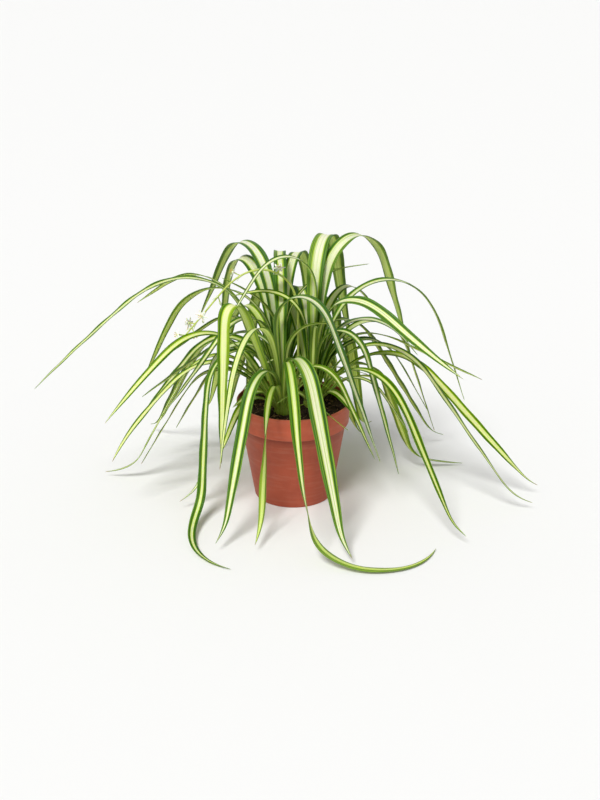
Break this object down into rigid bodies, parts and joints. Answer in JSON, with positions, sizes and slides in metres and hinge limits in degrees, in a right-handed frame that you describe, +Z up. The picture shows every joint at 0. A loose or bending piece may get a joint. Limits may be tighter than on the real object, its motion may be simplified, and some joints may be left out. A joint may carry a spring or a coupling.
{
  "type": "potted spider plant",
  "caption": "Spider plant with long arching leaves, green at the edges and pale in the middle, and one flower stalk, in a round plastic nursery pot.",
  "frame": {"origin": "middle of the pot's flat base, on the surface that the pot stands on", "axes": "+Z up, -Y towards the viewer of the picture, +X to the viewer's right"},
  "size_m": [0.5253, 0.3977, 0.273],
  "materials": {
    "pot": "moulded, terracotta-coloured, softly matte",
    "soil": "dark crumbly peat",
    "leaf": "satin leaf, green at the edges and cream in the middle",
    "stalk": "satin stem, yellow-green",
    "petal": "soft white petal"
  },
  "bodies": {
    "root": {"pot": "pot", "soil": "soil", "crown_front": "leaf", "crown_right": "leaf", "crown_back": "leaf", "flower_stalk": "stalk", "bloom_1": "petal", "bloom_2": "petal", "bloom_3": "petal", "bloom_4": "petal", "bloom_5": "petal", "bloom_6": "petal"}
  },
  "joints": []
}
